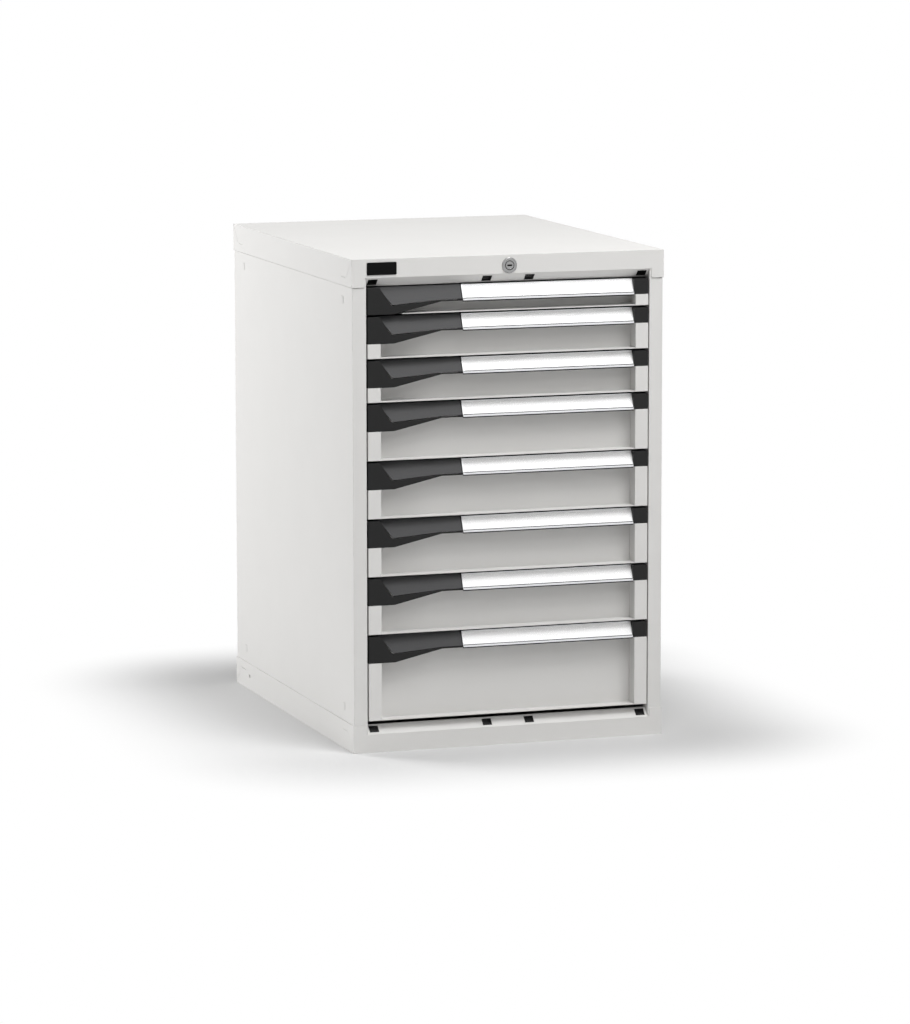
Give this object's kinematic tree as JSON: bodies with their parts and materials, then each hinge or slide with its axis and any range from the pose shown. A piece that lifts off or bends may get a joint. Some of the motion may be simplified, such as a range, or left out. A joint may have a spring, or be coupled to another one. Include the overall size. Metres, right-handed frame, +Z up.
{
  "type": "drawer cabinet",
  "caption": "Workshop cabinet of folded sheet steel with stacked sliding drawers, label handles with thumb latches, and a central lock.",
  "frame": {"origin": "on the floor, in the middle of the base tray", "axes": "X to the right as seen from the front, Y to the back, Z up"},
  "size_m": [0.564, 0.727, 0.85],
  "materials": {
    "paint": "light grey powder coat",
    "zinc_steel": "zinc plated steel",
    "aluminium": "satin anodised",
    "black_plastic": "fine grained black plastic",
    "grey_plastic": "fine grained dark grey plastic",
    "lock_chrome": "satin chrome"
  },
  "bodies": {
    "cabinet": {"top_cover": "paint", "base_tray": "paint", "side_panel_left": "paint", "side_panel_right": "paint", "back_panel": "paint", "side_plugs": "paint", "frame_inserts": "black_plastic", "badge_plate": "black_plastic", "upright_front_left": "zinc_steel", "upright_front_right": "zinc_steel", "upright_rear_left": "zinc_steel", "upright_rear_right": "zinc_steel", "cabinet_rails_left": "zinc_steel", "cabinet_rails_right": "zinc_steel", "lock_barrel": "lock_chrome", "lock_column": "zinc_steel", "lock_guides": "zinc_steel"},
    "drawer_1": {"drawer_1_body": "paint", "drawer_1_handle": "aluminium", "drawer_1_handle_ends": "black_plastic"},
    "drawer_2": {"drawer_2_body": "paint", "drawer_2_handle": "aluminium", "drawer_2_handle_ends": "black_plastic"},
    "drawer_3": {"drawer_3_body": "paint", "drawer_3_handle": "aluminium", "drawer_3_handle_ends": "black_plastic"},
    "drawer_4": {"drawer_4_body": "paint", "drawer_4_handle": "aluminium", "drawer_4_handle_ends": "black_plastic"},
    "drawer_5": {"drawer_5_body": "paint", "drawer_5_handle": "aluminium", "drawer_5_handle_ends": "black_plastic"},
    "drawer_6": {"drawer_6_body": "paint", "drawer_6_handle": "aluminium", "drawer_6_handle_ends": "black_plastic"},
    "drawer_7": {"drawer_7_body": "paint", "drawer_7_handle": "aluminium", "drawer_7_handle_ends": "black_plastic"},
    "drawer_8": {"drawer_8_body": "paint", "drawer_8_handle": "aluminium", "drawer_8_handle_ends": "black_plastic"},
    "carriage_1": {"drawer_1_carriage": "zinc_steel"},
    "carriage_2": {"drawer_2_carriage": "zinc_steel"},
    "carriage_3": {"drawer_3_carriage": "zinc_steel"},
    "carriage_4": {"drawer_4_carriage": "zinc_steel"},
    "carriage_5": {"drawer_5_carriage": "zinc_steel"},
    "carriage_6": {"drawer_6_carriage": "zinc_steel"},
    "carriage_7": {"drawer_7_carriage": "zinc_steel"},
    "carriage_8": {"drawer_8_carriage": "zinc_steel"},
    "latch_1": {"drawer_1_latch": "grey_plastic"},
    "latch_2": {"drawer_2_latch": "grey_plastic"},
    "latch_3": {"drawer_3_latch": "grey_plastic"},
    "latch_4": {"drawer_4_latch": "grey_plastic"},
    "latch_5": {"drawer_5_latch": "grey_plastic"},
    "latch_6": {"drawer_6_latch": "grey_plastic"},
    "latch_7": {"drawer_7_latch": "grey_plastic"},
    "latch_8": {"drawer_8_latch": "grey_plastic"},
    "lock_cylinder": {"lock_cylinder": "lock_chrome", "lock_shaft": "zinc_steel"},
    "lock_bar": {"lock_bar": "zinc_steel"}
  },
  "joints": [
    {"name": "drawer_1_slide", "type": "slide", "parent": "cabinet", "child": "drawer_1", "axis": [0, -1, 0], "range_m": [0, 0.6]},
    {"name": "drawer_2_slide", "type": "slide", "parent": "cabinet", "child": "drawer_2", "axis": [0, -1, 0], "range_m": [0, 0.6]},
    {"name": "drawer_3_slide", "type": "slide", "parent": "cabinet", "child": "drawer_3", "axis": [0, -1, 0], "range_m": [0, 0.6]},
    {"name": "drawer_4_slide", "type": "slide", "parent": "cabinet", "child": "drawer_4", "axis": [0, -1, 0], "range_m": [0, 0.6]},
    {"name": "drawer_5_slide", "type": "slide", "parent": "cabinet", "child": "drawer_5", "axis": [0, -1, 0], "range_m": [0, 0.6]},
    {"name": "drawer_6_slide", "type": "slide", "parent": "cabinet", "child": "drawer_6", "axis": [0, -1, 0], "range_m": [0, 0.6]},
    {"name": "drawer_7_slide", "type": "slide", "parent": "cabinet", "child": "drawer_7", "axis": [0, -1, 0], "range_m": [0, 0.6]},
    {"name": "drawer_8_slide", "type": "slide", "parent": "cabinet", "child": "drawer_8", "axis": [0, -1, 0], "range_m": [0, 0.6]},
    {"name": "carriage_1_slide", "type": "slide", "parent": "cabinet", "child": "carriage_1", "axis": [0, -1, 0], "range_m": [0, 0.3]},
    {"name": "carriage_2_slide", "type": "slide", "parent": "cabinet", "child": "carriage_2", "axis": [0, -1, 0], "range_m": [0, 0.3]},
    {"name": "carriage_3_slide", "type": "slide", "parent": "cabinet", "child": "carriage_3", "axis": [0, -1, 0], "range_m": [0, 0.3]},
    {"name": "carriage_4_slide", "type": "slide", "parent": "cabinet", "child": "carriage_4", "axis": [0, -1, 0], "range_m": [0, 0.3]},
    {"name": "carriage_5_slide", "type": "slide", "parent": "cabinet", "child": "carriage_5", "axis": [0, -1, 0], "range_m": [0, 0.3]},
    {"name": "carriage_6_slide", "type": "slide", "parent": "cabinet", "child": "carriage_6", "axis": [0, -1, 0], "range_m": [0, 0.3]},
    {"name": "carriage_7_slide", "type": "slide", "parent": "cabinet", "child": "carriage_7", "axis": [0, -1, 0], "range_m": [0, 0.3]},
    {"name": "carriage_8_slide", "type": "slide", "parent": "cabinet", "child": "carriage_8", "axis": [0, -1, 0], "range_m": [0, 0.3]},
    {"name": "latch_1_tilt", "type": "hinge", "parent": "drawer_1", "child": "latch_1", "pos_m": [-0.16, -0.346, 0.7948], "axis": [1, 0, 0], "range_deg": [0, 4], "stiffness_Nm_per_rad": 0.3, "springref_deg": -20.05},
    {"name": "latch_2_tilt", "type": "hinge", "parent": "drawer_2", "child": "latch_2", "pos_m": [-0.16, -0.346, 0.7448], "axis": [1, 0, 0], "range_deg": [0, 4], "stiffness_Nm_per_rad": 0.3, "springref_deg": -20.05},
    {"name": "latch_3_tilt", "type": "hinge", "parent": "drawer_3", "child": "latch_3", "pos_m": [-0.16, -0.346, 0.6698], "axis": [1, 0, 0], "range_deg": [0, 4], "stiffness_Nm_per_rad": 0.3, "springref_deg": -20.05},
    {"name": "latch_4_tilt", "type": "hinge", "parent": "drawer_4", "child": "latch_4", "pos_m": [-0.16, -0.346, 0.5948], "axis": [1, 0, 0], "range_deg": [0, 4], "stiffness_Nm_per_rad": 0.3, "springref_deg": -20.05},
    {"name": "latch_5_tilt", "type": "hinge", "parent": "drawer_5", "child": "latch_5", "pos_m": [-0.16, -0.346, 0.4948], "axis": [1, 0, 0], "range_deg": [0, 4], "stiffness_Nm_per_rad": 0.3, "springref_deg": -20.05},
    {"name": "latch_6_tilt", "type": "hinge", "parent": "drawer_6", "child": "latch_6", "pos_m": [-0.16, -0.346, 0.3948], "axis": [1, 0, 0], "range_deg": [0, 4], "stiffness_Nm_per_rad": 0.3, "springref_deg": -20.05},
    {"name": "latch_7_tilt", "type": "hinge", "parent": "drawer_7", "child": "latch_7", "pos_m": [-0.16, -0.346, 0.2948], "axis": [1, 0, 0], "range_deg": [0, 4], "stiffness_Nm_per_rad": 0.3, "springref_deg": -20.05},
    {"name": "latch_8_tilt", "type": "hinge", "parent": "drawer_8", "child": "latch_8", "pos_m": [-0.16, -0.346, 0.1948], "axis": [1, 0, 0], "range_deg": [0, 4], "stiffness_Nm_per_rad": 0.3, "springref_deg": -20.05},
    {"name": "lock_turn", "type": "hinge", "parent": "cabinet", "child": "lock_cylinder", "pos_m": [0, -0.3625, 0.832], "axis": [0, 1, 0], "range_deg": [0, 90]},
    {"name": "lock_bar_lift", "type": "slide", "parent": "cabinet", "child": "lock_bar", "axis": [0, 0, 1], "range_m": [0, 0.0099]}
  ],
  "couplings": [
    {"joint": "carriage_1_slide", "follows": "drawer_1_slide", "ratio": 0.5},
    {"joint": "carriage_2_slide", "follows": "drawer_2_slide", "ratio": 0.5},
    {"joint": "carriage_3_slide", "follows": "drawer_3_slide", "ratio": 0.5},
    {"joint": "carriage_4_slide", "follows": "drawer_4_slide", "ratio": 0.5},
    {"joint": "carriage_5_slide", "follows": "drawer_5_slide", "ratio": 0.5},
    {"joint": "carriage_6_slide", "follows": "drawer_6_slide", "ratio": 0.5},
    {"joint": "carriage_7_slide", "follows": "drawer_7_slide", "ratio": 0.5},
    {"joint": "carriage_8_slide", "follows": "drawer_8_slide", "ratio": 0.5},
    {"joint": "lock_turn", "follows": "lock_bar_lift", "rad_per_m": 158.67}
  ]
}
